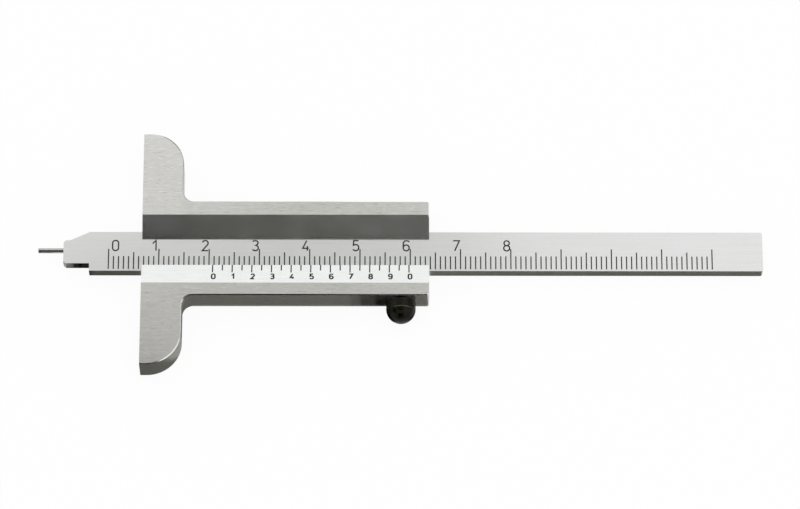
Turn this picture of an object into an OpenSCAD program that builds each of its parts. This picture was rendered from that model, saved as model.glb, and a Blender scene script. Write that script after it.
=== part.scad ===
// Vernier depth gauge with a round measuring pin, lying on its back.
// The origin is on the bridge's reference face, at mid-width, on the plane that the gauge lies on.
// +X runs along the beam away from the pin, +Y across the beam, +Z up to the scale side.

/* [Bridge and slider] */
// Length of the reference face, across the beam
bridge_l = 50; // [40:0.5:80]
// Depth of the bridge, along the beam
bridge_w = 8.1; // [6:0.1:10]
// Whole length of bridge and slider
frame_l = 57.1; // [56:0.1:64]
// Thickness of bridge and slider
frame_t = 6; // [5.9:0.1:7]
// Width of the slider
slider_w = 20.35; // [20:0.05:24]
// Radius of the bridge's outer corners
bridge_corner_r = 6.8; // [1:0.1:7.5]
// Radius of the fillets between bridge and slider
bridge_fillet_r = 2.1; // [0.5:0.1:4]
// Radius of the corners at the slider's free end
slider_corner_r = 0.45; // [0.2:0.05:1]

/* [Reading window] */
// How far the upper lip covers the beam
lip_upper_cover = 1.5; // [1:0.05:2]
// How far the lower lip, with the vernier, covers the beam
lip_lower_cover = 1.15; // [1:0.05:1.2]
// Width of each bevel, across the beam
bevel_w = 4.5; // [4:0.1:4.8]
// Height that each bevel loses towards the beam
bevel_drop = 1.6; // [1.4:0.05:1.7]
// Thickness left at the edge of each lip
lip_edge_t = 0.2; // [0.15:0.05:0.3]

/* [Beam] */
// Width of the beam
beam_w = 8.4; // [8:0.1:9]
// Thickness of the beam
beam_t = 2.4; // [2.2:0.05:2.5]
// Beam left over beyond the end stop
beam_spare = 3.65; // [2:0.05:10]
// Radius of the beam's corners at its far end
beam_corner_r = 0.5; // [0.2:0.1:1.5]
// Running clearance between beam and guide on each side
guide_gap = 0.05; // [0.03:0.01:0.08]

/* [Boss of the beam] */
// Length of the boss
boss_l = 5.15; // [4.8:0.05:5.5]
// Height of the step under the boss
boss_step = 1.6; // [1:0.05:1.8]
// Height that the boss loses on its upper side
boss_taper_h = 1.8; // [1:0.05:2]
// Length of the taper on the boss's upper side
boss_taper_l = 3.8; // [2:0.1:4.4]
// Size of the chamfers at the corners of the boss's end face
boss_nose = 0.45; // [0.2:0.05:0.6]

/* [Measuring pin] */
// Diameter of the pin where it measures
pin_d = 1; // [0.8:0.05:1.1]
// How far the pin stands out of the boss
pin_reach = 5.1; // [4:0.1:6]
// Diameter of the pin's shank in the boss
shank_d = 1.5; // [1.3:0.05:1.6]
// Length of the shank
shank_l = 7; // [6:0.1:9]
// Height of the pin above the beam's middle
pin_rise = 0.65; // [0.2:0.05:0.75]
// Chamfer at the pin's tip
pin_chamfer = 0.1; // [0.05:0.01:0.15]
// Radial clearance of the shank in its bore
shank_gap = 0.02; // [0.01:0.01:0.04]

/* [Scales] */
// Reading in millimetres at which the gauge is drawn
reading = 20.75; // [0:0.05:80]
// Largest reading that the end stop allows
reading_max = 80; // [80:1:100]
// Length of the main scale
scale_l = 120; // [100:1:120]
// Distance between the lines of the main scale
scale_step = 1; // [1:0.5:2]
// Width of an engraved line
line_w = 0.24; // [0.1:0.01:0.3]
// Depth of an engraved line
line_depth = 0.05; // [0.03:0.01:0.08]
// Distance from the beam's lower edge to the foot of the lines
line_foot = 0.37; // [0.2:0.01:0.5]
// Length of a line at each millimetre
line_short = 2.8; // [2:0.05:3]
// Length of a line at each fifth millimetre
line_middle = 3.65; // [3:0.05:4]
// Length of a line at each tenth millimetre
line_long = 4.35; // [4:0.05:5]
// Place of the vernier's zero line, from the reference face
vernier_x = 14.1; // [13:0.1:16]
// Divisions of the vernier
vernier_divisions = 20; // [10:10:20]
// Main scale length that the vernier spans
vernier_span = 39; // [19:20:39]
// Length of an even vernier line, across the bevel
vernier_long = 1.9; // [1.6:0.05:2.2]
// Length of an odd vernier line, across the bevel
vernier_short = 1.4; // [1:0.05:1.5]

/* [Pin set screw] */
// Diameter of the screw
pin_screw_d = 2; // [1.6:0.1:2]
// Length of the screw
pin_screw_l = 1.7; // [1.2:0.1:1.8]
// Distance of the screw from the boss's end face
pin_screw_x = 3.15; // [2.5:0.05:3.6]

/* [Gib] */
// Thickness of the gib strip
gib_t = 0.9; // [0.6:0.05:1]
// Length of the gib strip
gib_l = 36; // [30:0.5:38]
// Distance of the strip from the reference face
gib_x = 10.5; // [10:0.5:14]
// Diameter of the gib screws
gib_screw_d = 2; // [1.6:0.1:2]
// Length of the gib screws
gib_screw_l = 4.4; // [3:0.1:4.6]
// Distance of each gib screw from the strip's end
gib_screw_inset = 6; // [4:0.5:8]

/* [Lock button] */
// Diameter of the button's head
button_d = 5.85; // [4.5:0.05:5.85]
// Straight height of the head under its dome
button_rim_h = 1.45; // [1:0.05:2]
// Distance of the button from the slider's free end
button_inset = 5.6; // [5.5:0.1:6.2]
// Distance that the button can be pushed in
button_travel = 0.4; // [0.2:0.05:0.45]
// Diameter of the button's stem
stem_d = 1.8; // [1.4:0.05:1.9]
// Diameter of the cross pin
cross_pin_d = 0.6; // [0.5:0.05:0.65]
// Length of the cross pin
cross_pin_l = 3.2; // [2.6:0.1:3.4]

/* [Clamp lever] */
// Distance from the pivot to the button and to the nose
lever_arm = 5; // [4.8:0.05:5]
// Height of the lever's arms
lever_h = 1.3; // [1.1:0.05:1.4]
// Radius of the lever's eye
lever_eye_r = 1.1; // [0.95:0.05:1.15]
// Radius of the lever's nose
lever_nose_r = 0.9; // [0.7:0.05:1]
// Depth of the lever's underside below the beam's edge
lever_depth = 2.15; // [2.05:0.05:2.2]
// Diameter of the pivot pin
pivot_d = 1.2; // [1:0.05:1.25]

/* [Lock pocket and cover] */
// Width of the pocket below the guide
pocket_w = 3.15; // [3.1:0.05:3.3]
// Clearance between the lever and each end of the pocket
pocket_end_gap = 0.5; // [0.4:0.05:0.6]
// Width of the ledge along the cover's long side
cover_ledge = 1; // [0.8:0.05:1.1]
// Length of the ledge at each end of the cover
cover_end_ledge = 3; // [2.9:0.05:3]
// Diameter of the cover screws
cover_screw_d = 1.6; // [1.4:0.05:1.6]
// Diameter of the cover screws' heads
cover_screw_head_d = 2.5; // [2.3:0.05:2.5]
// Length of the cover screws
cover_screw_l = 3.6; // [3:0.1:3.8]

/* [Clamp spring] */
// Outer diameter of the spring
spring_d = 1.9; // [1.7:0.05:1.95]
// Diameter of the spring's wire
spring_wire_d = 0.24; // [0.2:0.01:0.26]
// Curls of the spring
spring_curls = 4; // [3:1:4]
// Depth of the spring's bore below the pocket
spring_bore_l = 1.9; // [1.8:0.05:2]

/* [End stop screw] */
// Diameter of the screw's thread
stop_screw_d = 2; // [1.6:0.1:2]
// Length of the screw's thread
stop_screw_l = 1.7; // [1.2:0.1:1.9]
// Diameter of the screw's head
stop_head_d = 3.4; // [3:0.1:3.8]
// Height of the screw's head
stop_head_h = 1.1; // [0.8:0.05:1.3]

/* [Hidden] */
$fn = 96;

// Overrun of every cut past the face that it starts from
cut = 0.5;
// Gap between pieces that touch at rest
seat = 0.02;
// Clearance all round a pin in its bore or a plate in its recess
fit = 0.03;
// Shares of a screw's diameter that its socket, its slot and its point take
socket_share = 0.5;
slot_share = 0.22;
point_share = 0.5;
// Share of the gib strip's thickness that the screws' seats are sunk into
gib_seat_share = 0.3;

// Heights above the plane that the gauge lies on
lip_top_z = frame_t - bevel_drop;
lip_under_z = lip_top_z - lip_edge_t;
beam_face_z = lip_under_z - guide_gap;
beam_back_z = beam_face_z - beam_t;
guide_floor_z = beam_back_z - guide_gap;
beam_mid_z = (beam_face_z + beam_back_z) / 2;
mid_z = frame_t / 2;

// Places across the beam
beam_edge_y = beam_w / 2;
guide_y = beam_edge_y + guide_gap;
lip_upper_y = beam_edge_y - lip_upper_cover;
lip_lower_y = lip_lower_cover - beam_edge_y;
slider_y = slider_w / 2;
bevel_angle = atan(bevel_drop / bevel_w);

// Places along the beam, whose pieces are all drawn from the pin's tip
tip_x = -reading;
boss_x = tip_x + pin_reach;
step_x = boss_x + boss_l;
stop_x = tip_x + reading_max + frame_l + guide_gap + stop_head_d / 2;
beam_end_x = stop_x + stop_head_d / 2 + beam_spare;
scale_x = tip_x + vernier_x;
boss_under_y = boss_step - beam_edge_y;
boss_top_y = beam_edge_y - boss_taper_h;
pin_screw_px = boss_x + pin_screw_x;
pin_screw_y = pin_rise - shank_d / 2 - seat;
vernier_step = vernier_span / vernier_divisions;

// Gib strip and its screws
gib_y = beam_edge_y + seat;
gib_back_y = gib_y + gib_t;
gib_point_l = gib_t * gib_seat_share;
gib_screw_y = gib_back_y + seat;
gib_screw_places = [gib_x + gib_screw_inset, gib_x + gib_l - gib_screw_inset];

// Lock button, lever and pocket: the lever is as thick as the beam and lies level with it
button_x = frame_l - button_inset;
button_y = -slider_y - button_travel;
pivot_x = button_x - lever_arm;
nose_x = pivot_x - lever_arm;
lever_y = -beam_edge_y - lever_depth;
lever_x0 = nose_x - lever_h;
lever_x1 = button_x + lever_h;
nose_y = -beam_edge_y - seat - lever_nose_r;
pivot_y = lever_y + lever_h - lever_eye_r;
pocket_x0 = lever_x0 - pocket_end_gap;
pocket_x1 = lever_x1 + pocket_end_gap;
pocket_y = -guide_y - pocket_w;
pocket_back_y = -guide_y - lip_edge_t;
pivot_z0 = guide_floor_z / 2;
pivot_z1 = bevel_z(pivot_y) - lip_edge_t * 2.5;
stem_l = lever_y - seat - button_y;
cross_pin_y = pocket_y + seat + cross_pin_d / 2;
cover_x0 = pocket_x0 - cover_end_ledge;
cover_x1 = pocket_x1 + cover_end_ledge;
cover_y0 = pocket_y - cover_ledge;
cover_screw_places = [cover_x0 + cover_end_ledge / 2, cover_x1 - cover_end_ledge / 2];
cover_screw_y = (cover_y0 + pocket_back_y) / 2;
spring_y0 = pocket_y - spring_bore_l;
spring_y1 = lever_y - seat;

// Height of the slider's face at a place y under the window, where the bevel lowers it
function bevel_z(y) =
  frame_t - bevel_drop * max(0, min(1, (y - lip_lower_y + bevel_w) / bevel_w));

// Length of line n of the main scale
function scale_line(n) = n % 10 == 0 ? line_long : n % 5 == 0 ? line_middle : line_short;

// Waste outside a rounded corner of radius r, with the corner at the origin and the arc inside +X +Y
module corner_waste(r) {
  difference() {
    translate([-cut, -cut]) square(r + cut);
    translate([r, r]) circle(r);
  }
}

// Rectangle with its near corner at the origin and all four corners rounded
module round_plate(l, w, r) {
  translate([r, 0]) square([l - 2 * r, w]);
  translate([0, r]) square([l, w - 2 * r]);
  for (x = [r, l - r], y = [r, w - r]) translate([x, y]) circle(r);
}

// Box from one corner to the other
module block(from, to) {
  translate(from) cube(to - from);
}

// Set screw with its point at the origin, which runs along +Z and has a hexagon socket at its far end
module set_screw(d, l, point_l) {
  difference() {
    union() {
      translate([0, 0, point_l]) cylinder(d = d, h = l - point_l);
      cylinder(d = d * point_share, h = point_l + seat);
    }
    translate([0, 0, l - d * socket_share]) cylinder(d = d * socket_share, h = d * socket_share + cut, $fn = 6);
  }
}

// Bridge and slider as a flat T, seen from the scale side
module frame_outline() {
  difference() {
    union() {
      translate([0, -bridge_l / 2]) square([bridge_w, bridge_l]);
      translate([0, -slider_y]) square([frame_l, slider_w]);
      for (side = [0, 1]) mirror([0, side]) translate([bridge_w, slider_y]) corner_waste(bridge_fillet_r);
    }
    for (side = [0, 1]) mirror([0, side]) {
      translate([bridge_w, bridge_l / 2]) rotate(180) corner_waste(bridge_corner_r);
      translate([frame_l, slider_y]) rotate(180) corner_waste(slider_corner_r);
    }
  }
}

// Section of the reading window and its two bevels, as Y and Z
module window_section() {
  polygon([
    [lip_lower_y - bevel_w, frame_t + cut],
    [lip_lower_y - bevel_w, frame_t],
    [lip_lower_y, lip_top_z],
    [lip_lower_y, beam_mid_z],
    [lip_upper_y, beam_mid_z],
    [lip_upper_y, lip_top_z],
    [lip_upper_y + bevel_w, frame_t],
    [lip_upper_y + bevel_w, frame_t + cut],
  ]);
}

// Vernier lines, sunk into the lower bevel from the lip's edge downwards
module vernier_lines() {
  for (n = [0:vernier_divisions]) {
    reach = (n % 2 == 0 ? vernier_long : vernier_short) / cos(bevel_angle);
    translate([vernier_x + n * vernier_step - line_w / 2, lip_lower_y, lip_top_z])
      rotate([-bevel_angle, 0, 0]) translate([0, -reach, -line_depth]) cube([line_w, reach + cut, line_depth + cut]);
  }
}

// Pocket of the lock, open to the guide and to the back, with the bores that lead into it
module lock_pocket() {
  block([pocket_x0, pocket_y, guide_floor_z - cut], [pocket_x1, pocket_back_y, lip_under_z]);
  block([pocket_x0, pocket_back_y - cut, guide_floor_z], [pocket_x1, cut - guide_y, lip_under_z]);
  translate([cover_x0, cover_y0, -cut]) linear_extrude(guide_floor_z + cut)
    round_plate(cover_x1 - cover_x0, pocket_back_y - cover_y0, cover_ledge);
  translate([button_x, -slider_y - cut, mid_z]) rotate([-90, 0, 0])
    cylinder(d = stem_d + 2 * guide_gap, h = slider_y + pocket_y + 2 * cut);
  translate([nose_x, spring_y0, mid_z]) rotate([-90, 0, 0])
    cylinder(d = spring_d + 2 * guide_gap, h = spring_bore_l + cut);
  translate([pivot_x, pivot_y, lip_under_z - cut]) cylinder(d = pivot_d + 2 * seat, h = pivot_z1 - lip_under_z + cut);
  for (x = cover_screw_places) translate([x, cover_screw_y, guide_floor_z - cut])
    cylinder(d = cover_screw_d + 2 * seat, h = cover_screw_l + seat - guide_floor_z + cut);
}

module frame() {
  color("silver") difference() {
    linear_extrude(frame_t) frame_outline();
    block([-cut, -guide_y, guide_floor_z], [frame_l + cut, guide_y, lip_under_z]);
    translate([-cut, 0, 0]) rotate([90, 0, 90]) linear_extrude(frame_l + 2 * cut) window_section();
    block([gib_x - fit, guide_y - cut, guide_floor_z], [gib_x + gib_l + fit, gib_back_y + fit, lip_under_z]);
    for (x = gib_screw_places) translate([x, gib_back_y, beam_mid_z]) rotate([-90, 0, 0])
      cylinder(d = gib_screw_d + 2 * seat, h = slider_y - gib_back_y + cut);
    vernier_lines();
    lock_pocket();
  }
}

// Beam and boss, seen from the scale side
module beam_outline() {
  difference() {
    polygon([
      [boss_x, boss_under_y + boss_nose],
      [boss_x + boss_nose, boss_under_y],
      [step_x, boss_under_y],
      [step_x, -beam_edge_y],
      [beam_end_x, -beam_edge_y],
      [beam_end_x, beam_edge_y],
      [step_x, beam_edge_y],
      [step_x - boss_taper_l, boss_top_y],
      [boss_x + boss_nose, boss_top_y],
      [boss_x, boss_top_y - boss_nose],
    ]);
    for (side = [0, 1]) mirror([0, side])
      translate([beam_end_x, beam_edge_y]) rotate(180) corner_waste(beam_corner_r);
  }
}

// Lines of the main scale, one for each step, longer at each fifth and tenth
module scale_lines() {
  for (n = [0:scale_l / scale_step])
    translate([scale_x + n * scale_step - line_w / 2, line_foot - beam_edge_y, beam_face_z - line_depth])
      cube([line_w, scale_line(n), line_depth + cut]);
}

module beam() {
  color("gainsboro") difference() {
    translate([0, 0, beam_back_z]) linear_extrude(beam_t) beam_outline();
    scale_lines();
    translate([boss_x - cut, pin_rise, beam_mid_z]) rotate([0, 90, 0])
      cylinder(d = shank_d + 2 * shank_gap, h = shank_l + seat + cut);
    translate([pin_screw_px, boss_under_y - cut, beam_mid_z]) rotate([-90, 0, 0])
      cylinder(d = pin_screw_d + 2 * seat, h = pin_rise - boss_under_y + cut);
    translate([stop_x, 0, beam_back_z - cut]) cylinder(d = stop_screw_d + 2 * seat, h = stop_screw_l + seat + cut);
  }
}

module measuring_pin() {
  color("dimgray") translate([tip_x, pin_rise, beam_mid_z]) rotate([0, 90, 0]) rotate_extrude() polygon([
    [0, 0],
    [pin_d / 2 - pin_chamfer, 0],
    [pin_d / 2, pin_chamfer],
    [pin_d / 2, pin_reach],
    [shank_d / 2, pin_reach],
    [shank_d / 2, pin_reach + shank_l - pin_chamfer],
    [shank_d / 2 - pin_chamfer, pin_reach + shank_l],
    [0, pin_reach + shank_l],
  ]);
}

module pin_set_screw() {
  color("black") translate([pin_screw_px, pin_screw_y, beam_mid_z]) rotate([90, 0, 0])
    set_screw(pin_screw_d, pin_screw_l, pin_chamfer);
}

// Cheese-head screw in the beam's back, whose head meets the slider at the largest reading
module end_stop_screw() {
  color("gray") translate([stop_x, 0, beam_back_z]) difference() {
    union() {
      cylinder(d = stop_screw_d, h = stop_screw_l);
      translate([0, 0, -stop_head_h]) cylinder(d = stop_head_d, h = stop_head_h);
    }
    translate([-stop_head_d, -stop_screw_d * slot_share / 2, -stop_head_h - cut])
      cube([2 * stop_head_d, stop_screw_d * slot_share, stop_head_h * socket_share + cut]);
  }
}

module gib_strip() {
  color("goldenrod") difference() {
    block([gib_x, gib_y, beam_back_z], [gib_x + gib_l, gib_back_y, beam_face_z]);
    for (x = gib_screw_places) translate([x, gib_back_y - gib_point_l, beam_mid_z]) rotate([-90, 0, 0])
      cylinder(d = gib_screw_d * point_share + 2 * fit, h = gib_point_l + cut);
  }
}

module gib_screws() {
  for (x = gib_screw_places) color("dimgray")
    translate([x, gib_screw_y - gib_point_l, beam_mid_z]) rotate([-90, 0, 0])
      set_screw(gib_screw_d, gib_screw_l, gib_point_l);
}

// Turned button: domed head, stem and rounded tip, drawn along +Z and turned to point out of the slider
module lock_button() {
  color("black") difference() {
    translate([button_x, button_y, mid_z]) rotate([90, 0, 0]) rotate_extrude() {
      square([button_d / 2, button_rim_h]);
      translate([0, button_rim_h]) intersection() {
        circle(button_d / 2);
        square(button_d / 2);
      }
      translate([0, stem_d / 2 - stem_l]) {
        square([stem_d / 2, stem_l - stem_d / 2 + seat]);
        intersection() {
          circle(stem_d / 2);
          translate([0, -stem_d]) square(stem_d);
        }
      }
    }
    translate([button_x - stem_d, cross_pin_y, mid_z]) rotate([0, 90, 0])
      cylinder(d = cross_pin_d + 2 * seat, h = 2 * stem_d);
  }
}

module button_cross_pin() {
  color("dimgray") translate([button_x - cross_pin_l / 2, cross_pin_y, mid_z]) rotate([0, 90, 0])
    cylinder(d = cross_pin_d, h = cross_pin_l);
}

// Rocker: the button lifts one arm towards the beam, and the nose on the other arm leaves the beam
module clamp_lever() {
  color("gray") translate([0, 0, beam_back_z]) linear_extrude(beam_t) difference() {
    union() {
      translate([lever_x0 + lever_h / 2, lever_y]) square([lever_x1 - lever_x0 - lever_h, lever_h]);
      for (x = [lever_x0 + lever_h / 2, lever_x1 - lever_h / 2])
        translate([x, lever_y + lever_h / 2]) circle(lever_h / 2);
      translate([pivot_x, pivot_y]) circle(lever_eye_r);
      translate([nose_x, nose_y]) circle(lever_nose_r);
    }
    translate([pivot_x, pivot_y]) circle(pivot_d / 2 + fit);
  }
}

module lever_pivot_pin() {
  color("dimgray") translate([pivot_x, pivot_y, pivot_z0]) cylinder(d = pivot_d, h = pivot_z1 - seat - pivot_z0);
}

// Centre line of the spring at a share t of its turns
spring_r = (spring_d - spring_wire_d) / 2;
spring_l = spring_y1 - spring_y0 - 2 * seat - spring_wire_d;
function spring_at(t) = [
  nose_x + spring_r * cos(t * spring_curls * 360),
  spring_y0 + seat + spring_wire_d / 2 + t * spring_l,
  mid_z + spring_r * sin(t * spring_curls * 360),
];

// Rings of the spring's wire: each stands square to the wire, which leads along the spring
spring_rings = spring_curls * 8;
wire_sides = 6;
function wire_point(i, j) =
  let (
    turn = i / spring_rings * spring_curls * 360,
    out = spring_wire_d / 2 * cos(j * 360 / wire_sides),
    along = spring_wire_d / 2 * sin(j * 360 / wire_sides),
    lead = atan(spring_l / spring_curls / (2 * PI * spring_r))
  )
  spring_at(i / spring_rings)
    + out * [cos(turn), 0, sin(turn)]
    + along * [sin(lead) * sin(turn), cos(lead), -sin(lead) * cos(turn)];
spring_gap = min([for (i = [0:spring_rings], k = [4:spring_rings]) if (i + k <= spring_rings)
  norm(spring_at(i / spring_rings) - spring_at((i + k) / spring_rings)) - spring_wire_d]);
echo(least_gap_of_spring = spring_gap);

module clamp_spring() {
  last = spring_rings * wire_sides;
  color("gray") polyhedron(
    points = [for (i = [0:spring_rings], j = [0:wire_sides - 1]) wire_point(i, j)],
    faces = concat(
      [[for (j = [wire_sides - 1:-1:0]) j]],
      [for (i = [0:spring_rings - 1], j = [0:wire_sides - 1], half = [0, 1])
        let (a = i * wire_sides + j, b = i * wire_sides + (j + 1) % wire_sides)
        half == 0 ? [a, b, b + wire_sides] : [a, b + wire_sides, a + wire_sides]],
      [[for (j = [0:wire_sides - 1]) last + j]]
    )
  );
}

// Plate that closes the pocket at the back; the pivot pin stands in it
module lock_cover() {
  head_h = (cover_screw_head_d - cover_screw_d) / 2;
  color("silver") difference() {
    translate([cover_x0 + fit, cover_y0 + fit, 0]) linear_extrude(guide_floor_z - seat)
      round_plate(cover_x1 - cover_x0 - 2 * fit, pocket_back_y - cover_y0 - 2 * fit, cover_ledge - fit);
    for (x = cover_screw_places) translate([x, cover_screw_y, 0]) {
      translate([0, 0, -cut]) cylinder(d = cover_screw_d + 2 * fit, h = guide_floor_z + 2 * cut);
      translate([0, 0, -seat]) cylinder(d1 = cover_screw_head_d + 2 * fit + 2 * seat, d2 = cover_screw_d + 2 * fit,
        h = head_h + seat);
    }
    translate([pivot_x, pivot_y, pivot_z0 - seat]) cylinder(d = pivot_d + 2 * seat, h = guide_floor_z);
  }
}

module lock_cover_screws() {
  head_h = (cover_screw_head_d - cover_screw_d) / 2;
  for (x = cover_screw_places) color("gray") translate([x, cover_screw_y, seat]) difference() {
    union() {
      cylinder(d1 = cover_screw_head_d, d2 = cover_screw_d, h = head_h);
      translate([0, 0, head_h]) cylinder(d = cover_screw_d, h = cover_screw_l - head_h - seat);
    }
    translate([-cover_screw_head_d, -cover_screw_d * slot_share / 2, -cut])
      cube([2 * cover_screw_head_d, cover_screw_d * slot_share, head_h * socket_share + cut]);
  }
}

frame();
beam();
measuring_pin();
pin_set_screw();
end_stop_screw();
gib_strip();
gib_screws();
lock_button();
button_cross_pin();
clamp_lever();
lever_pivot_pin();
clamp_spring();
lock_cover();
lock_cover_screws();
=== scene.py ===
import math

import bmesh
import bpy
from mathutils import Matrix, Vector


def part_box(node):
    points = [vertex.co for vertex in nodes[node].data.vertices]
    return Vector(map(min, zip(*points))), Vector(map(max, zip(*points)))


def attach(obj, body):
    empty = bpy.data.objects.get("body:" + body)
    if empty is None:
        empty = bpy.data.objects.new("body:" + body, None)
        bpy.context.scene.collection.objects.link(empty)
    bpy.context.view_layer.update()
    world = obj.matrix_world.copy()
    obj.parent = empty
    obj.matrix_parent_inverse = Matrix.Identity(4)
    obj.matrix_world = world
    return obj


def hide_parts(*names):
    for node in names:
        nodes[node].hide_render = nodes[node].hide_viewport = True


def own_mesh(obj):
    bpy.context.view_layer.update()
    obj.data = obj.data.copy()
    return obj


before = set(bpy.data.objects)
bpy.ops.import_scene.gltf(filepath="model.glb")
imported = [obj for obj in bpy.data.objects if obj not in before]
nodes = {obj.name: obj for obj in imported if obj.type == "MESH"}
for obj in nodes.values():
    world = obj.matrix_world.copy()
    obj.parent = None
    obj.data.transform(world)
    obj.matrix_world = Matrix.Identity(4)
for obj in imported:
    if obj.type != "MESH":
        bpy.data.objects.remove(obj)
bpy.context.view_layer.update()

mm = 0.001
scene = bpy.context.scene
print("frame loaded:", len(nodes), "nodes")


def toLinear(hexColour):
    # the sRGB curve, with an alpha of 1 at the end
    parts = [int(hexColour[i : i + 2], 16) / 255 for i in (1, 3, 5)]
    return [c / 12.92 if c <= 0.04045 else ((c + 0.055) / 1.055) ** 2.4 for c in parts] + [1.0]


def addNode(tree, kind, inputs=None, **settings):
    # an input is a plain value, or a (node, output) pair that gets linked
    made = tree.nodes.new(kind)
    for key, value in settings.items():
        setattr(made, key, value)
    for key, value in (inputs or {}).items():
        if isinstance(value, tuple) and hasattr(value[0], "outputs"):
            tree.links.new(value[0].outputs[value[1]], made.inputs[key])
        else:
            made.inputs[key].default_value = value
    return made


def emptyMaterial(name):
    material = bpy.data.materials.new(name)
    material.use_nodes = True
    material.node_tree.nodes.clear()
    return material, material.node_tree


camera = {
    "azimuth": 0.0,
    "elevation": 66.24,  # degrees above the bench, seen from the button's side
    "roll": 0.06,
    "target": (51.31, -1.45, 6.0),  # mm, on the plane of the front face
    "distance": 1000,  # mm
    "pxPerMm": 5.038,  # at the target
    "frameWidth": 800,  # px
    "sensorWidth": 36,  # mm
    "clip": (0.05, 20),  # m
}


def placeCamera(c):
    azimuth, elevation, roll = (math.radians(c[key]) for key in ("azimuth", "elevation", "roll"))
    level = math.cos(elevation)
    back = Vector((math.sin(azimuth) * level, -math.cos(azimuth) * level, math.sin(elevation)))
    right = Vector((math.cos(azimuth), math.sin(azimuth), 0))
    up = back.cross(right)
    x = right * math.cos(roll) + up * math.sin(roll)
    y = up * math.cos(roll) - right * math.sin(roll)
    data = bpy.data.cameras.new("longLens")
    data.sensor_width = c["sensorWidth"]
    data.lens = c["pxPerMm"] * c["distance"] * c["sensorWidth"] / c["frameWidth"]
    data.clip_start, data.clip_end = c["clip"]
    ob = bpy.data.objects.new("longLens", data)
    place = Matrix((x, y, back)).transposed().to_4x4()
    place.translation = (Vector(c["target"]) + back * c["distance"]) * mm
    ob.matrix_world = place
    scene.collection.objects.link(ob)
    scene.camera = ob


placeCamera(camera)
print("camera placed")

studio = {
    "worldLight": 1.0,  # on what isn't metal
    "worldShine": 1.0,  # what metal mirrors
    "floorColour": "#f6f6f5",
    "floorWhite": 0.93,  # share of plain white in the floor as the camera sees it
    "floorReach": 1500,  # mm, each way
    "floorHeight": -0.02,  # mm, just under the gauge
    "lampPower": 0.25,  # W
    "lampSize": 0.7,  # m
    "lampFrom": (0.45, 0.5, 0.75),  # m; behind, above and to the right
}
onFloor = 0.05  # mm, height of the cards that lie on the floor
underCards = 0.04

# Sheets that only metal mirrors, where the plain white room would be too bright in it: one corner and the
# opposite one in mm, and the colour.
cards = {
    # dark cloth, before the gauge and round the lens
    "lensCloth": ((-90, -200, 300), (150, -10, 300), "#222216"),  # for the upper bevel
    "endCloth": ((-90, -110, 60), (4, -6, 60), "#0c0905"),  # for the left end of that bevel
    "frontCloth": ((-90, -300, 20), (170, -300, 240), "#0c0c0b"),  # dark line along the front edges
    "filletCloth": ((13, -20, 9), (42, -20, 20), "#0c0c0b"),  # the same at the lower leg's fillet
    "pinCloth": ((-21.5, -40, 20), (-16.2, -2.4, 20), "#0e0e0d"),  # for the lower part of the pin
    "frontFloor": ((-100, -140, underCards), (200, -33, underCards), "#30302c"),  # dull floor before it all
    # hung above, for the front face
    "legDimmer": ((-30, -2, 100), (66, 32, 100), "#d8d8d5"),  # the lower leg is duller than the upper one
    "landDimmer": ((-15, 26, 92), (68, 35, 92), "#b0b0ac"),  # for the land under the lower bevel
    "upperDimmer": ((16, 30, 60), (66, 62, 60), "#e6e6e3"),  # for the land over the upper bevel
    # stood at the right, for the edges that face along the beam
    "endShade": ((200, 10, 0), (200, 58, 110), "#cacac6"),  # for the slider's right end
    "edgeShade": ((200, 82, 0), (200, 130, 110), "#8c8c88"),  # dark line along the upper leg
    "curveShade": ((200, 130, 0), (200, 420, 110), "#7c7c78"),  # the same round its curve
    # on the floor, for the sides of the bridge
    "upperCard": ((6, 26, onFloor), (40, 70, onFloor), "#3c3c38"),
    "legCard": ((-3, -33, onFloor), (3, -17, onFloor), "#666660"),
    "cornerCard": ((3, -33, onFloor), (7.6, -17, onFloor), "#6a6a64"),
    "curveCard": ((7.6, -33, onFloor), (14, -17, onFloor), "#a8a8a4"),
    # the slider's side, which gets darker towards the button
    "sliderCard": ((8.2, -17, onFloor), (41.5, -10.3, onFloor), "#6e6e68"),
    "shadeCard": ((41.5, -17, onFloor), (43.5, -10.3, onFloor), "#5e5e58"),
    "nearButtonCard": ((43.5, -17, onFloor), (46.5, -10.3, onFloor), "#3c3c37"),
    "buttonCard": ((46.5, -17, onFloor), (49.5, -10.3, onFloor), "#10100f"),
    "endCard": ((54, -17, onFloor), (58, -10.3, onFloor), "#74746e"),
    # the beam's side and the pin
    "beamCard": ((57.3, -9, onFloor), (148, -4.4, onFloor), "#60605a"),
    "outCard": ((-85, -9, onFloor), (-22.5, -2, onFloor), "#5a5a54"),  # for the beam when it is out
    "zeroCard": ((-10.3, -9, onFloor), (-0.2, -2, onFloor), "#52524c"),
    "holeCard": ((-13.9, -9, onFloor), (-10.3, -2, onFloor), "#121211"),
    "bossCard": ((-15.6, -9, onFloor), (-13.9, -2, onFloor), "#6c6c66"),
    "pinCard": ((-22, -6, onFloor), (-18.1, 0.4, onFloor), "#161614"),
    "pinRootCard": ((-18.1, -2.4, onFloor), (-15.7, 0.4, onFloor), "#161614"),
}


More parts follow.
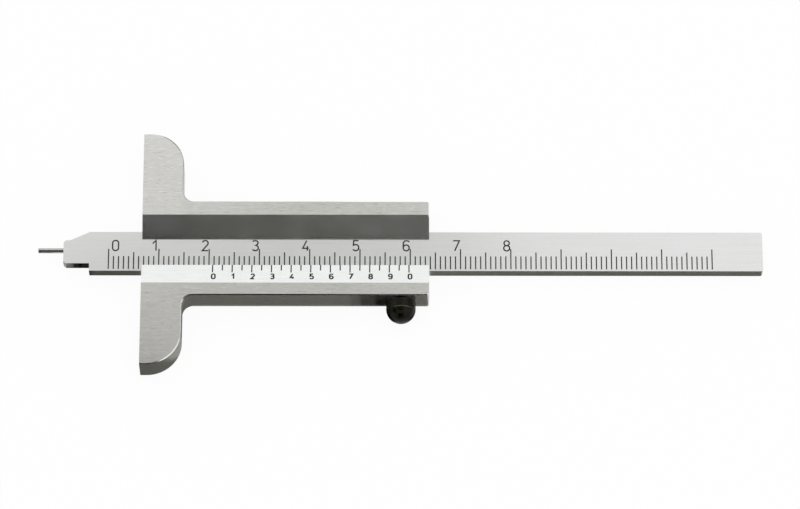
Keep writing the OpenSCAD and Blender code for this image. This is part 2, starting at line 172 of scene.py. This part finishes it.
def makeWorld(s):
    # plain white for the camera; light and shine have their own strengths
    scene.world = bpy.data.worlds.new("whiteStudio")
    scene.world.use_nodes = True
    tree = scene.world.node_tree
    tree.nodes.clear()
    rays = addNode(tree, "ShaderNodeLightPath")
    direct = {0: (rays, "Is Camera Ray"), 1: (rays, "Is Transmission Ray")}
    seen = addNode(tree, "ShaderNodeMath", direct, operation="MAXIMUM")
    # a mix takes its share at 0 and two numbers at 2 and 3, or two colours at 6 and 7
    byRay = {0: (rays, "Is Glossy Ray"), 2: s["worldLight"], 3: s["worldShine"]}
    shine = addNode(tree, "ShaderNodeMix", byRay)
    strength = addNode(tree, "ShaderNodeMix", {0: (seen, 0), 2: (shine, 0), 3: 1.0})
    background = addNode(tree, "ShaderNodeBackground", {"Color": (1, 1, 1, 1), "Strength": (strength, 0)})
    addNode(tree, "ShaderNodeOutputWorld", {"Surface": (background, 0)})


def sheet(name, start, end, material):
    # level where both corners are at one height, upright otherwise
    (x0, y0, z0), (x1, y1, z1) = start, end
    level = [(x0, y0, z0), (x1, y0, z0), (x1, y1, z0), (x0, y1, z0)]
    upright = [(x0, y0, z0), (x1, y1, z0), (x1, y1, z1), (x0, y0, z1)]
    mesh = bpy.data.meshes.new(name)
    mesh.from_pydata([Vector(c) * mm for c in (level if z0 == z1 else upright)], [], [(0, 1, 2, 3)])
    mesh.materials.append(material)
    ob = bpy.data.objects.new(name, mesh)
    scene.collection.objects.link(ob)
    return ob


def makeFloor(s):
    # matt white board with a soft shadow; metal mirrors it as plain white
    material, tree = emptyMaterial("mattWhiteBoard")
    rays = addNode(tree, "ShaderNodeLightPath")
    seen = (rays, "Is Camera Ray")
    for other in ("Is Glossy Ray", "Is Transmission Ray"):
        seen = (addNode(tree, "ShaderNodeMath", {0: seen, 1: (rays, other)}, operation="MAXIMUM"), 0)
    share = addNode(tree, "ShaderNodeMath", {0: seen, 1: s["floorWhite"]}, operation="MULTIPLY")
    board = addNode(tree, "ShaderNodeBsdfDiffuse", {"Color": toLinear(s["floorColour"])})
    white = addNode(tree, "ShaderNodeEmission", {"Color": (1, 1, 1, 1), "Strength": 1.0})
    mix = addNode(tree, "ShaderNodeMixShader", {0: (share, 0), 1: (board, 0), 2: (white, 0)})
    addNode(tree, "ShaderNodeOutputMaterial", {"Surface": (mix, 0)})
    reach, height = s["floorReach"], s["floorHeight"]
    sheet("floor", (-reach, -reach, height), (reach, reach, height), material)


def makeCard(name, start, end, colour):
    material, tree = emptyMaterial(name + "Paper")
    paper = addNode(tree, "ShaderNodeEmission", {"Color": toLinear(colour), "Strength": 1.0})
    addNode(tree, "ShaderNodeOutputMaterial", {"Surface": (paper, 0)})
    card = sheet(name, start, end, material)
    card.visible_camera = card.visible_diffuse = card.visible_shadow = False
    card.visible_transmission = card.visible_volume_scatter = False


def makeLamp(s):
    data = bpy.data.lights.new("softLamp", "AREA")
    data.shape, data.size, data.energy = "DISK", s["lampSize"], s["lampPower"]
    ob = bpy.data.objects.new("softLamp", data)
    ob.location = s["lampFrom"]
    ob.rotation_euler = (-Vector(s["lampFrom"])).to_track_quat("-Z", "Y").to_euler()
    scene.collection.objects.link(ob)


makeWorld(studio)
makeFloor(studio)
for name, card in cards.items():
    makeCard(name, *card)
makeLamp(studio)
scene.view_settings.view_transform = "Standard"
print("studio lit:", len(cards), "cards")

# Each layer is noise drawn out to a size in mm along X, Y and Z. Its two tones lie at the noise values in
# reach, and share says how much of the layer shows there over the layers before it. Height is in mm.
finishes = {
    # stainless steel ground along the beam: light silky grey, fine lines, short scratches
    "groundStainless": {
        "metallic": 1.0,
        "layers": [
            {"size": (7, 7, 7), "tones": ("#cdccc8", "#d6d5d2")},
            {  # real grit lines are 0.02 mm wide; drawn coarser so that they show
                "size": (9, 0.09, 0.09),
                "tones": ("#c3c2be", "#e0e0dd"),
                "share": (0.5, 0.5),
                "height": 0.001,
                "roughness": (0.27, 0.36),
            },
            {  # scratches that catch the light
                "size": (1.8, 0.18, 0.18),
                "tones": ("#f0f0ec", "#f0f0ec"),
                "reach": (0.58, 0.7),
                "share": (0.0, 0.7),
                "height": 0.002,
            },
            {  # dark ones
                "size": (1.6, 0.16, 0.16),
                "tones": ("#9d9d99", "#9d9d99"),
                "reach": (0.6, 0.72),
                "share": (0.0, 0.6),
            },
        ],
    },
    # satin chrome on the graduated face: pale, even, faintly cloudy
    "satinChrome": {
        "metallic": 1.0,
        "layers": [
            {"size": (5, 5, 5), "tones": ("#dbdcdb", "#e1e2e1"), "roughness": (0.3, 0.36)},
            {  # bead marks are 0.05 mm; drawn coarser so that they show
                "size": (0.22, 0.22, 0.22),
                "tones": ("#d2d3d2", "#e5e6e5"),
                "share": (0.35, 0.35),
                "height": 0.0006,
            },
            {"size": (12, 0.2, 0.2), "tones": ("#d5d6d4", "#e2e3e2"), "share": (0.4, 0.4)},
        ],
    },
    # the same chrome on the bevels and the front's broken edges, finer, and lighter in tone than on the beam:
    # a painted highlight; nearly white where it faces light, dark where it faces the lens
    "highlightChrome": {
        "metallic": 1.0,
        "layers": [
            {
                "size": (6, 4, 4),
                "tones": ("#e8ebea", "#f8f9f8"),
                "reach": (0.1, 0.9),
                "roughness": (0.23, 0.28),
            },
            {"size": (5, 0.2, 0.2), "tones": ("#e6e8e6", "#f6f7f6"), "share": (0.35, 0.35)},
        ],
    },
    # hardened steel, centreless ground: darker and glossy, with fine rings round the pin
    "hardenedSteel": {
        "metallic": 1.0,
        "layers": [
            {"size": (1.2, 1.2, 1.2), "tones": ("#b4b4b2", "#c2c2c0")},
            {
                "size": (0.12, 1.6, 1.6),
                "tones": ("#a6a6a4", "#cbcbc9"),
                "share": (0.3, 0.3),
                "height": 0.0002,
                "roughness": (0.16, 0.24),
            },
        ],
    },
    # steel blackened in hot salts and oiled: nearly black, soft gloss, faintly brown where it is worn
    "blackenedSteel": {
        "metallic": 1.0,
        "layers": [
            {
                "size": (1.3, 1.3, 1.3),
                "tones": ("#1c1c18", "#282722"),
                "detail": 3.0,
                "roughness": (0.26, 0.38),
            },
            {"size": (0.5, 0.12, 0.5), "tones": ("#171714", "#34332c"), "share": (0.4, 0.4), "height": 0.001},
        ],
    },
    # the button's blackened steel made lighter, a painted highlight: dark brown-grey, smoother
    "highlightSteel": {
        "metallic": 1.0,
        "layers": [
            {
                "size": (0.7, 0.7, 0.7),
                "tones": ("#45423b", "#645f55"),
                "detail": 3.0,
                "roughness": (0.24, 0.34),
            },
            {
                "size": (0.12, 0.5, 0.12),
                "tones": ("#3b3832", "#7c766a"),
                "share": (0.3, 0.5),
                "height": 0.0005,
            },
        ],
    },
    # turned screw steel: mid grey with fine tool rings
    "turnedSteel": {
        "metallic": 1.0,
        "layers": [
            {"size": (0.8, 0.8, 0.8), "tones": ("#adada9", "#bcbcb8")},
            {
                "size": (0.5, 0.1, 0.12),
                "tones": ("#9c9c98", "#c8c8c5"),
                "share": (0.4, 0.4),
                "height": 0.0008,
                "roughness": (0.24, 0.36),
            },
        ],
    },
    # drawn spring wire: dark grey, with drawing marks
    "drawnWire": {
        "metallic": 1.0,
        "layers": [
            {"size": (0.6, 0.6, 0.6), "tones": ("#8f8f8c", "#a2a29f")},
            {
                "size": (0.14, 0.14, 0.14),
                "tones": ("#848481", "#adadab"),
                "share": (0.5, 0.5),
                "height": 0.0006,
                "roughness": (0.28, 0.4),
            },
        ],
    },
    # drawn brass strip: yellow, silky along the strip, a little tarnished
    "drawnBrass": {
        "metallic": 1.0,
        "layers": [
            {"size": (1.5, 1.5, 1.5), "tones": ("#b8904a", "#d8b266"), "detail": 3.0},
            {
                "size": (6, 0.08, 0.08),
                "tones": ("#c29b52", "#dcb870"),
                "share": (0.5, 0.5),
                "height": 0.0008,
                "roughness": (0.26, 0.38),
            },
        ],
    },
    # baked black scale paint: matt, dry, slightly uneven
    "scaleInk": {
        "metallic": 0.0,
        "layers": [
            {
                "size": (0.1, 0.1, 0.1),
                "tones": ("#0c0c0b", "#1b1b1a"),
                "height": 0.0008,
                "roughness": (0.55, 0.7),
            },
        ],
    },
}
noiseSettings = {
    "reach": (0.3, 0.7),
    "detail": 2.0,
    "roughness": 0.55,
    "shift": 7.3,  # from one layer to the next, so that their patterns differ
}


def makeFinish(name, finish):
    material, tree = emptyMaterial(name)
    place = addNode(tree, "ShaderNodeTexCoord")
    inputs = {"Metallic": finish["metallic"]}
    for n, layer in enumerate(finish["layers"]):
        low, high = layer.get("reach", noiseSettings["reach"])
        drawn = addNode(tree, "ShaderNodeMapping", {
            "Vector": (place, "Object"),
            "Location": [noiseSettings["shift"] * n] * 3,
            "Scale": [1 / (size * mm) for size in layer["size"]],
        })
        noise = addNode(tree, "ShaderNodeTexNoise", {
            "Vector": (drawn, 0),
            "Scale": 1.0,
            "Detail": layer.get("detail", noiseSettings["detail"]),
            "Roughness": noiseSettings["roughness"],
        })
        tones = addNode(tree, "ShaderNodeValToRGB", {0: (noise, 0)})
        for stop, at, tone in zip(tones.color_ramp.elements, (low, high), layer["tones"]):
            stop.position, stop.color = at, toLinear(tone)
        fromNoise = {0: (noise, 0), 1: low, 2: high}  # a map range takes its new ends at 3 and 4
        if "share" in layer:
            least, most = layer["share"]
            share = addNode(tree, "ShaderNodeMapRange", {**fromNoise, 3: least, 4: most})
            laid = {0: (share, 0), 6: inputs["Base Color"], 7: (tones, 0)}
            inputs["Base Color"] = (addNode(tree, "ShaderNodeMix", laid, data_type="RGBA"), 2)
        else:
            inputs["Base Color"] = (tones, 0)
        if "roughness" in layer:
            glossy, dull = layer["roughness"]
            inputs["Roughness"] = (addNode(tree, "ShaderNodeMapRange", {**fromNoise, 3: glossy, 4: dull}), 0)
        if "height" in layer:
            relief = {"Height": (noise, 0), "Distance": layer["height"] * mm, "Strength": 1.0}
            if "Normal" in inputs:
                relief["Normal"] = inputs["Normal"]
            inputs["Normal"] = (addNode(tree, "ShaderNodeBump", relief), 0)
    shader = addNode(tree, "ShaderNodeBsdfPrincipled", inputs)
    addNode(tree, "ShaderNodeOutputMaterial", {"Surface": (shader, 0)})
    return material


finished = {name: makeFinish(name, finish) for name, finish in finishes.items()}
nodeFinish = {
    "measuring_pin": "hardenedSteel",
    "pin_set_screw": "blackenedSteel",
    "end_stop_screw": "turnedSteel",
    "gib_strip": "drawnBrass",
    "gib_screws": "turnedSteel",
    "button_cross_pin": "hardenedSteel",
    "clamp_lever": "hardenedSteel",
    "lever_pivot_pin": "hardenedSteel",
    "lock_cover": "groundStainless",
    "lock_cover_screws": "turnedSteel",
}
for node, finish in nodeFinish.items():
    for slot in nodes[node].material_slots:
        slot.material = finished[finish]
print("finishes made:", len(finished))


def addPiece(name, mesh, body, slot, *finishNames):
    for finish in finishNames:
        mesh.materials.append(finished[finish])
    ob = bpy.data.objects.new(name, mesh)
    scene.collection.objects.link(ob)
    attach(ob, body)
    return ob


def joinRows(shape, rows, closed):
    # skin over rings of points, capped at both ends unless it closes on itself
    count = len(rows[0])
    for a, b in list(zip(rows, rows[1:])) + ([(rows[-1], rows[0])] if closed else []):
        for i in range(count):
            j = (i + 1) % count
            shape.faces.new((a[i], b[i], b[j], a[j]))
    if not closed:
        shape.faces.new(rows[0])
        shape.faces.new(list(reversed(rows[-1])))


def finishMesh(shape, name):
    bmesh.ops.recalc_face_normals(shape, faces=shape.faces)
    mesh = bpy.data.meshes.new(name)
    shape.to_mesh(mesh)
    shape.free()
    return mesh


def smoothSides(mesh):
    # every face but the caps, which have more corners
    mesh.polygons.foreach_set("use_smooth", [len(face.vertices) == 4 for face in mesh.polygons])


# how edges are broken, with angles in degrees
breaking = {
    "weld": 1e-7,  # m, corners closer than this become one
    "flat": 0.3,  # faces that turn less than this are one plane
    "sharp": 40,  # only edges that turn more than this are broken
    "leastTurn": 0.5,  # faces that turn between these two are facets of a round wall
    "mostTurn": 12,
    "newTurn": 50,  # shading runs on between two new faces that turn less than this
}


def softEdged(node, name, piece, isOutline):
    # a copy of the CAD piece whose outline edges are broken, as a stone breaks them
    flat, sharp, leastTurn, mostTurn, newTurn = (
        math.radians(breaking[key]) for key in ("flat", "sharp", "leastTurn", "mostTurn", "newTurn")
    )
    shape = bmesh.new()
    shape.from_mesh(nodes[node].data)
    bmesh.ops.remove_doubles(shape, verts=shape.verts, dist=breaking["weld"])
    bmesh.ops.dissolve_limit(shape, angle_limit=flat, verts=shape.verts, edges=shape.edges)
    shape.normal_update()
    edges = [e for e in shape.edges if e.is_convex and e.calc_face_angle(0) > sharp and isOutline(e)]
    broken = bmesh.ops.bevel(
        shape,
        geom=edges,
        offset=piece["edge"] * mm,
        offset_type="OFFSET",
        segments=piece["edgeSteps"],
        profile=0.5,
        affect="EDGES",
        clamp_overlap=piece["clamped"],
        loop_slide=True,
    )
    shape.normal_update()
    rounded = set(broken["faces"])
    for face in shape.faces:
        turns = [edge.calc_face_angle(0) for edge in face.edges]
        face.smooth = face in rounded or any(leastTurn < turn < mostTurn for turn in turns)
    for edge in shape.edges:
        bothRounded = all(face in rounded for face in edge.link_faces)
        edge.smooth = edge.calc_face_angle(0) < (newTurn if bothRounded else mostTurn)
    mesh = bpy.data.meshes.new(name)
    shape.to_mesh(mesh)
    shape.free()
    kept = mesh.attributes.get("custom_normal")  # the old corners' normals, wrong for the new faces
    if kept:
        mesh.attributes.remove(kept)
    return mesh


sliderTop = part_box("frame")[1].z / mm
beamLow, beamHigh = (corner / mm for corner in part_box("beam"))

# the bevels on both sides of the reading window; the lower one carries the vernier
bevel = {
    "lipY": -3.05,  # edge of the lower one at the window
    "width": 4.5,
    "drop": 1.6,
}
slope = math.atan2(bevel["drop"], bevel["width"])
upBevel = Vector((0, -math.cos(slope), math.sin(slope)))  # away from the lip, up to the land
offBevel = Vector((0, math.sin(slope), math.cos(slope)))

slider = {
    "edge": 0.2,  # mm, width of the broken edges
    "edgeSteps": 1,
    "clamped": False,
    "near": 0.01,  # mm, two places closer than this are one
    "uprightLength": 5.5,  # only upright edges longer than this are broken
    "guideLow": -7.6,  # on the back, the edges between these two are the guide's and the pocket's
    "guideHigh": 5.5,
    "spread": 0.02,  # of a normal, where faces are chosen by it
}


def sliderOutline(edge):
    ends = [v.co / mm for v in edge.verts]
    near = slider["near"]
    front = all(abs(p.z - sliderTop) < near for p in ends)
    back = all(p.z < near for p in ends) and all(
        p.y < slider["guideLow"] or p.y > slider["guideHigh"] for p in ends
    )
    upright = abs(ends[0].z - ends[1].z) > slider["uprightLength"] and (ends[0] - ends[1]).xy.length < near
    reference = all(p.x < near for p in ends)  # the measuring face keeps its edges
    return (front or back or upright) and not reference


def makeSlider(s):
    mesh = softEdged("frame", "ground_slider", s, sliderOutline)
    made = addPiece("ground_slider", mesh, "slider", "ground_steel", "groundStainless", "highlightChrome")
    # the bevels and the front's broken edges take the lighter chrome, a painted highlight
    for face in mesh.polygons:
        isBevel = abs(abs(face.normal.y) - math.sin(slope)) < s["spread"] and face.normal.z > 0
        isBroken = abs(face.normal.z - math.sqrt(0.5)) < s["spread"]
        if isBevel or isBroken:
            face.material_index = 1
    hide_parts("frame")


makeSlider(slider)

beam = {
    "edge": 0.1,
    "edgeSteps": 2,
    "clamped": True,
    "near": 0.005,
    "rim": 0.6,  # edges closer than this to a long side are broken
    "bossEnd": -10,  # and all edges left of this place
    "freeEnd": 122,  # and right of this one
    "shortest": 0.02,  # but none shorter than this
    "screwX": -12.5,
    "screwZ": 2.95,
    "screwHole": 1.06,  # radius that takes in the hole's wall
}


def beamOutline(edge):
    ends = [v.co / mm for v in edge.verts]
    onFace = any(all(abs(p.z - z) < beam["near"] for p in ends) for z in (beamHigh.z, beamLow.z))
    onRim = all(
        abs(abs(p.y) - beamHigh.y) < beam["rim"]
        or p.x < beam["bossEnd"]
        or p.x > beam["freeEnd"]
        for p in ends
    )
    return onFace and onRim and (ends[0] - ends[1]).length > beam["shortest"]


def makeBeam(b):
    mesh = softEdged("beam", "chromed_beam", b, beamOutline)
    made = addPiece("chromed_beam", mesh, "rule", "satin_steel", "satinChrome", "blackenedSteel")
    for face in mesh.polygons:  # the walls of the set screw's hole take the blackened steel: painted shade
        corners = [mesh.vertices[v].co / mm for v in face.vertices]
        inside = all(math.hypot(p.x - b["screwX"], p.z - b["screwZ"]) < b["screwHole"] for p in corners)
        if inside and all(p.y < 0 for p in corners):
            face.material_index = 1
    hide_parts("beam")


makeBeam(beam)
print("slider and beam made")

# the button's head is relieved underneath, so that it stops just short of the slider's face
button = {"underside": -10.575, "relief": 0.01, "near": 0.005}


def makeButton(b):
    mesh = nodes["lock_button"].data.copy()
    mesh.materials.clear()
    for vertex in mesh.vertices:
        if abs(vertex.co.y / mm - b["underside"]) < b["near"]:
            vertex.co.y -= b["relief"] * mm
    made = addPiece("domed_button", mesh, "button", "blackened_steel", "blackenedSteel")
    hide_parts("lock_button")


makeButton(button)

# a thin raised bead on the upper part of the edge between the button's rim and its dome: its shape catches
# real reflection, and its lighter steel is a painted highlight, laid only over the arc where that highlight
# shows
buttonEdgeHighlight = {
    "x": 51.5,
    "z": 3.0,
    "y": -12.4,
    "radius": 2.895,
    "width": 0.2,
    "height": 0.03,
    "start": -32,  # degrees from +Z towards +X
    "stop": 52,
    "steps": 28,
    "leastHeight": 0.05,  # share of the height that is left at both ends
    # along the width, and out to the height
    "sectionShares": ((0.5, -0.06), (0.5, 0), (0.25, 0.8), (0, 1), (-0.25, 0.8), (-0.5, 0), (-0.5, -0.06)),
}


def makeButtonEdge(b):
    shape = bmesh.new()
    rows = []
    for n in range(b["steps"] + 1):
        turn = math.radians(b["start"] + (b["stop"] - b["start"]) * n / b["steps"])
        height = b["height"] * max(b["leastHeight"], math.sin(math.pi * n / b["steps"]))
        row = []
        for along, out in b["sectionShares"]:
            radius = b["radius"] + out * height
            y = b["y"] + along * b["width"]
            corner = Vector((b["x"] + radius * math.sin(turn), y, b["z"] + radius * math.cos(turn)))
            row.append(shape.verts.new(corner * mm))
        rows.append(row)
    joinRows(shape, rows, False)
    mesh = finishMesh(shape, "button_edge_highlight")
    smoothSides(mesh)
    addPiece("button_edge_highlight", mesh, "button", "blackened_steel", "highlightSteel")


makeButtonEdge(buttonEdgeHighlight)

# the clamp spring, built at rest; in the gauge it flattens under the lever as the button is pressed
spring = {
    "x": 41.5,
    "z": 3.0,
    "fixedEnd": -9.263,
    "leverEnd": -6.407,
    "radius": 0.83,  # to the middle of the wire
    "wire": 0.12,  # radius of the wire itself
    "turns": 4,
    "steps": 96,
    "sides": 10,
    "keep": 0.82,  # share of its length left at full press
}


def makeSpring(s):
    shape = bmesh.new()
    rows = []
    rise = s["leverEnd"] - s["fixedEnd"] - 2 * s["wire"]
    for n in range(s["steps"] + 1):
        turn = 2 * math.pi * s["turns"] * n / s["steps"]
        out = Vector((math.cos(turn), 0, math.sin(turn)))
        y = s["fixedEnd"] + s["wire"] + rise * n / s["steps"]
        middle = Vector((s["x"], y, s["z"])) + out * s["radius"]
        row = []
        for k in range(s["sides"]):
            side = 2 * math.pi * k / s["sides"]
            corner = middle + (out * math.cos(side) + Vector((0, 1, 0)) * math.sin(side)) * s["wire"]
            row.append(shape.verts.new(corner * mm))
        rows.append(row)
    joinRows(shape, rows, False)
    mesh = finishMesh(shape, "wound_spring")
    smoothSides(mesh)
    wound = addPiece("wound_spring", mesh, "slider", "spring_steel", "drawnWire")
    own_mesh(wound)
    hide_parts("clamp_spring")


makeSpring(spring)
print("button, its edge and spring made")

# paint in an engraved line: it laps over the walls and sinks a little in the middle
paint = {
    "lineWidth": 0.24,
    "lineDepth": 0.05,
    "overlap": 0.02,  # past the line's walls
    "lap": 0.003,  # at both ends of a line, height of the paint's edges over the face
    "sag": 0.006,  # there too, depth of its middle under the face
    "levelShare": 0.75,  # of its half width, where it passes the level of the face
    "endLength": 0.08,
    "endRise": 0.003,  # between the ends it lies lower by this
}
mainScale = {
    "zero": -6.65,  # mm, place of the line 0 along the beam
    "last": 120,
    "step": 1.0,
    "foot": -3.83,
    "short": 2.8,
    "middle": 3.65,
    "long": 4.35,
    "numbered": 9,  # from 0 to 8
    "numberRight": -0.08,  # right edge of a numeral, from its line
    "zeroLeft": 0.62,  # the 0 stands right of its line
    "numberBase": 0.02,
    "numberWidth": 1.46,
    "numberHeight": 2.48,
    "stroke": 0.28,
}
vernier = {
    "zero": 14.1,
    "step": 1.95,
    "divisions": 20,
    "long": 1.9,
    "short": 1.4,
    "numberTop": 2.3,  # down the bevel, from its lip
    "numberHeight": 1.6,
    "numberWidth": 0.98,
    "numberShift": 0.2,
    "stroke": 0.32,
}


def onBeam(x, y, height):
    return Vector((x, y, beamHigh.z + height))


def onBevel(x, away, height):
    lip = Vector((x, bevel["lipY"], sliderTop - bevel["drop"]))
    return lip + upBevel * away + offBevel * height


def paintStrip(shape, place, x, start, end):
    half, level = paint["lineWidth"] / 2 + paint["overlap"], paint["levelShare"]
    low, high = -paint["sag"], paint["lap"]
    top = [(-half, high), (-half * level, 0), (0, low), (half * level, 0), (half, high)]
    inner, sink = paint["endLength"], paint["endRise"]
    rows = []
    for y, deeper in ((start, 0), (start + inner, sink), (end - inner, sink), (end, 0)):
        ring = [(x + u, y, height - deeper) for u, height in top]
        ring += [(x + half, y, -paint["lineDepth"]), (x - half, y, -paint["lineDepth"])]
        rows.append([shape.verts.new(place(*p) * mm) for p in ring])
    joinRows(shape, rows, False)


def paintMainScale(s):
    shape = bmesh.new()
    for n in range(s["last"] + 1):
        kind = "long" if n % 10 == 0 else "middle" if n % 5 == 0 else "short"
        paintStrip(shape, onBeam, s["zero"] + n * s["step"], s["foot"], s["foot"] + s[kind])
    addPiece("main_scale_paint", finishMesh(shape, "main_scale_paint"), "rule", "satin_steel", "scaleInk")


def paintVernier(v):
    shape = bmesh.new()
    for n in range(v["divisions"] + 1):
        reach = v["long" if n % 2 == 0 else "short"] / math.cos(slope)
        paintStrip(shape, onBevel, v["zero"] + n * v["step"], 0, reach)
    addPiece("vernier_paint", finishMesh(shape, "vernier_paint"), "slider", "ground_steel", "scaleInk")


paintMainScale(mainScale)
paintVernier(vernier)
print("lines painted")

arcSteps = 14


def arc(cx, cy, rx, ry, start, stop, steps=arcSteps):
    # from start to stop in degrees, anticlockwise where stop is larger
    turns = [math.radians(start + (stop - start) * i / steps) for i in range(steps + 1)]
    return [(cx + rx * math.cos(turn), cy + ry * math.sin(turn)) for turn in turns]


def ring(cx, cy, rx, ry):
    return arc(cx, cy, rx, ry, 0, 360, 2 * arcSteps)[:-1]


# centre lines of the numerals in a box one wide and one high; True closes a stroke
numerals = {
    "0": [(arc(0.5, 0.74, 0.5, 0.26, 0, 180) + arc(0.5, 0.26, 0.5, 0.26, 180, 360), True)],
    "1": [([(0.1, 0.7), (0.68, 1.0), (0.68, 0.0)], False)],
    "2": [(arc(0.5, 0.735, 0.48, 0.265, 165, -32) + [(0.02, 0.0), (1.0, 0.0)], False)],
    "3": [(arc(0.46, 0.765, 0.46, 0.235, 150, -82) + arc(0.46, 0.27, 0.52, 0.27, 76, -150), False)],
    "4": [([(0.66, 1.0), (0.0, 0.24), (1.0, 0.24)], False), ([(0.78, 0.46), (0.78, 0.0)], False)],
    "5": [([(0.92, 1.0), (0.12, 1.0), (0.08, 0.54)] + arc(0.46, 0.31, 0.52, 0.31, 128, -150), False)],
    "6": [(ring(0.5, 0.29, 0.5, 0.29), True), (arc(0.56, 0.7, 0.56, 0.3, 35, 172) + [(0.0, 0.3)], False)],
    "7": [([(0.0, 0.93), (0.08, 1.0), (1.0, 1.0), (0.2, 0.0)], False)],
    "8": [(ring(0.5, 0.76, 0.44, 0.24), True), (ring(0.5, 0.265, 0.5, 0.265), True)],
    "9": [(ring(0.5, 0.71, 0.5, 0.29), True), (arc(0.44, 0.3, 0.56, 0.3, 215, 352) + [(1.0, 0.7)], False)],
}
# the printed numerals
ink = {
    "height": 0.006,  # mm over the face
    "crossing": 0.0015,  # each further stroke is higher, so that strokes that cross don't share a face
    "root": 0.02,  # how far it goes into the metal
    "samePoint": 1e-6,  # points closer than this are one
    "mitreLimit": 0.45,  # keeps the mitres at sharp bends short
}


def strokeSides(points, half, closed):
    # left and right edge of a stroke, mitred at its bends
    given = [Vector(p) for p in points]
    path = [p for i, p in enumerate(given) if i == 0 or (p - given[i - 1]).length > ink["samePoint"]]
    if closed and (path[0] - path[-1]).length < ink["samePoint"]:
        path.pop()
    count = len(path)
    left, right = [], []
    for i, p in enumerate(path):
        before = path[i - 1] if i or closed else None
        after = path[(i + 1) % count] if i < count - 1 or closed else None
        a = (p - before).normalized() if before is not None else (after - p).normalized()
        b = (after - p).normalized() if after is not None else a
        side = Vector((-a.y - b.y, a.x + b.x)).normalized()
        reach = half / max(ink["mitreLimit"], side.dot(Vector((-a.y, a.x))))
        left.append(p + side * reach)
        right.append(p - side * reach)
    return left, right


def drawNumeral(shape, digit, left, base, scale, place):
    half = scale["stroke"] / 2
    width, height = (scale[key] - scale["stroke"] for key in ("numberWidth", "numberHeight"))
    for n, (points, closed) in enumerate(numerals[digit]):
        fitted = [(left + half + u * width, base + half + v * height) for u, v in points]
        root, top = -ink["root"], ink["height"] + ink["crossing"] * n
        rows = []
        for a, b in zip(*strokeSides(fitted, half, closed)):
            corners = ((a, root), (b, root), (b, top), (a, top))
            rows.append([shape.verts.new(place(*p, h) * mm) for p, h in corners])
        joinRows(shape, rows, closed)


def numberMainScale(s):
    shape = bmesh.new()
    for n in range(s["numbered"]):
        line = s["zero"] + 10 * n * s["step"]
        left = line + s["zeroLeft"] if n == 0 else line + s["numberRight"] - s["numberWidth"]
        drawNumeral(shape, str(n), left, s["numberBase"], s, onBeam)
    mesh = finishMesh(shape, "main_scale_numerals")
    addPiece("main_scale_numerals", mesh, "rule", "satin_steel", "scaleInk")


def numberVernier(v):
    # 0 to 9 and 0 again, at every second line
    shape = bmesh.new()
    base = -v["numberTop"] - v["numberHeight"]
    for n in range(v["divisions"] // 2 + 1):
        left = v["zero"] + 2 * n * v["step"] + v["numberShift"] - v["numberWidth"] / 2
        drawNumeral(shape, str(n % 10), left, base, v, lambda x, up, height: onBevel(x, -up, height))
    mesh = finishMesh(shape, "vernier_numerals")
    addPiece("vernier_numerals", mesh, "slider", "ground_steel", "scaleInk")


numberMainScale(mainScale)
numberVernier(vernier)
print("numerals printed")
